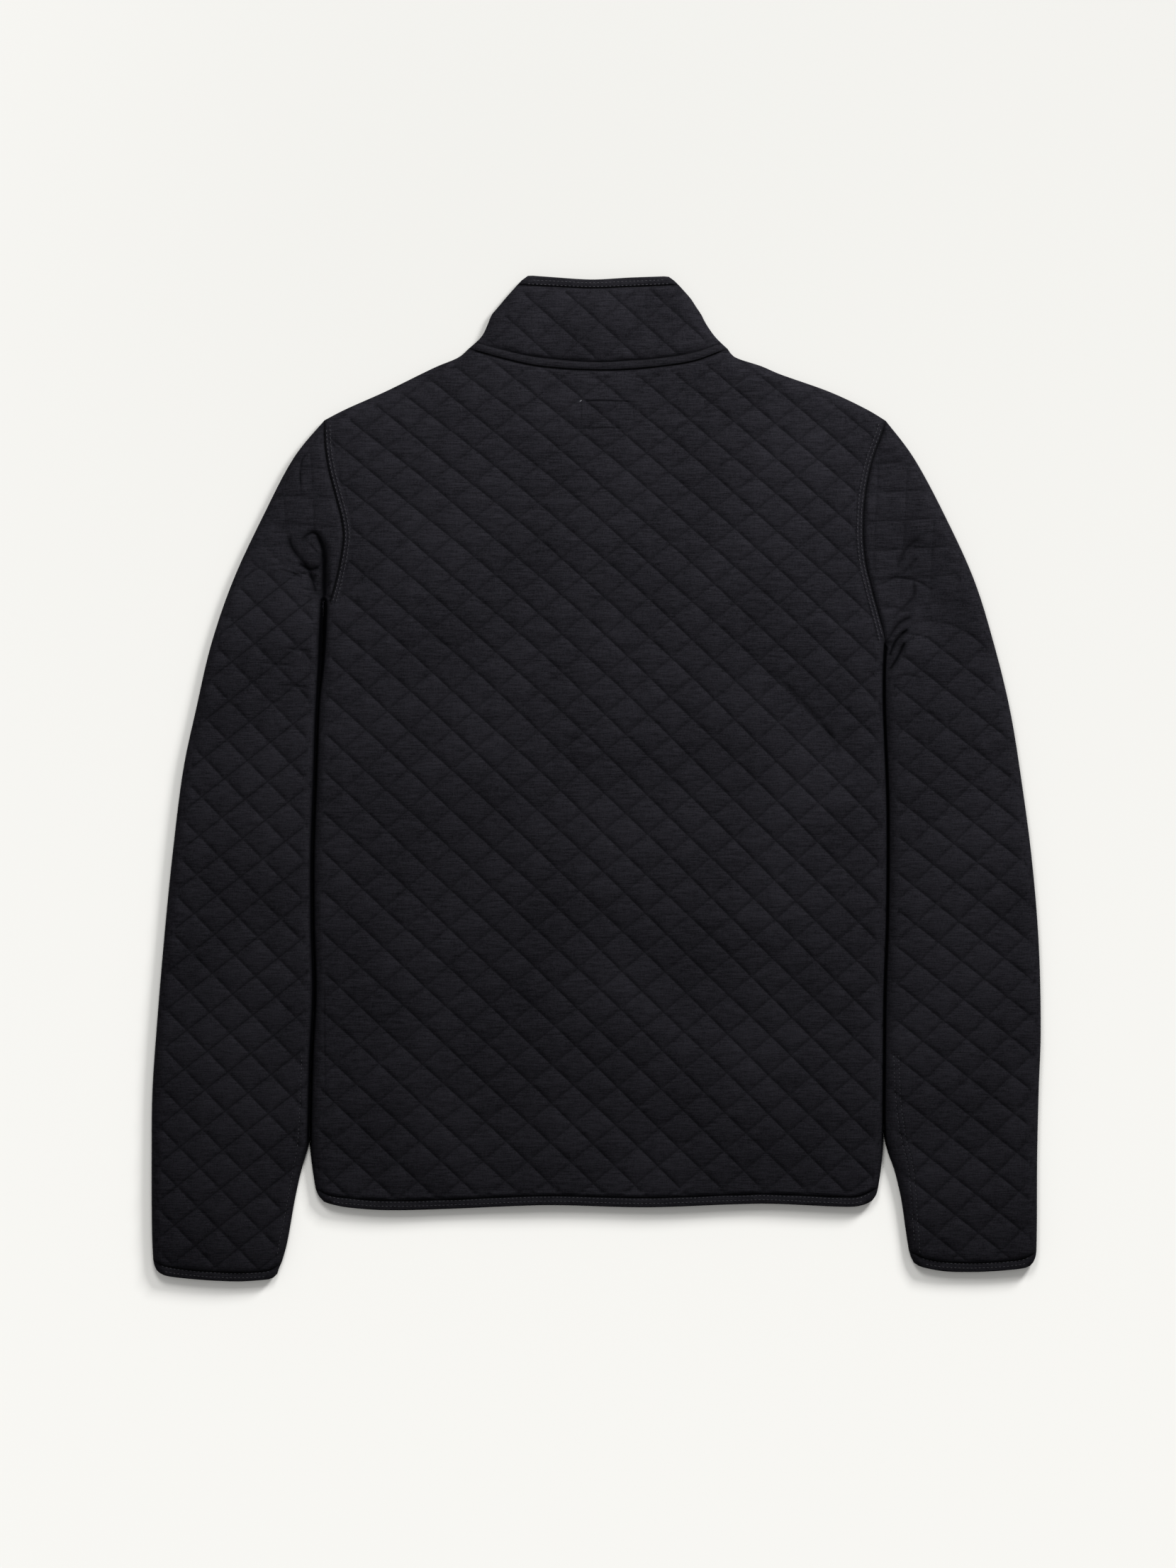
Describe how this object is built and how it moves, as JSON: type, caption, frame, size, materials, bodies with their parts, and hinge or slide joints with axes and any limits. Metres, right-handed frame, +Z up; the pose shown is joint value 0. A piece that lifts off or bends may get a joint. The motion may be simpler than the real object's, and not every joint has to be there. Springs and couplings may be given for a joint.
{
  "type": "quilted half-zip pullover",
  "caption": "Long-sleeved pullover in diamond-quilted knit with a stand collar and a short front zip, laid flat face down with its back up.",
  "frame": {"origin": "middle of the outline on the surface that the garment lies on", "axes": "+Z up from that surface, out of the garment's back; +Y towards the collar; +X towards the sleeve on the right as seen from above"},
  "size_m": [0.725, 0.8196, 0.0112],
  "materials": {
    "quilted_knit": "matt diamond-quilted double knit",
    "binding": "matt knitted binding",
    "zip_tape": "woven tape",
    "zip_teeth": "moulded coil",
    "zip_metal": "satin"
  },
  "bodies": {
    "garment": {"back": "quilted_knit", "front": "quilted_knit", "sleeve_left": "quilted_knit", "sleeve_right": "quilted_knit", "collar": "quilted_knit", "neck_band": "binding", "collar_binding": "binding", "cuff_binding_left": "binding", "cuff_binding_right": "binding", "hem_binding": "binding", "zip_tape_left": "zip_tape", "zip_tape_right": "zip_tape", "zip_chain": "zip_teeth", "zip_slider": "zip_metal"},
    "pull_tab": {"zip_pull_tab": "zip_metal"}
  },
  "joints": [
    {"name": "pull_tab_swing", "type": "hinge", "parent": "garment", "child": "pull_tab", "pos_m": [0, 0.3747, 0.0017], "axis": [1, 0, 0], "range_deg": [0, 175]}
  ]
}
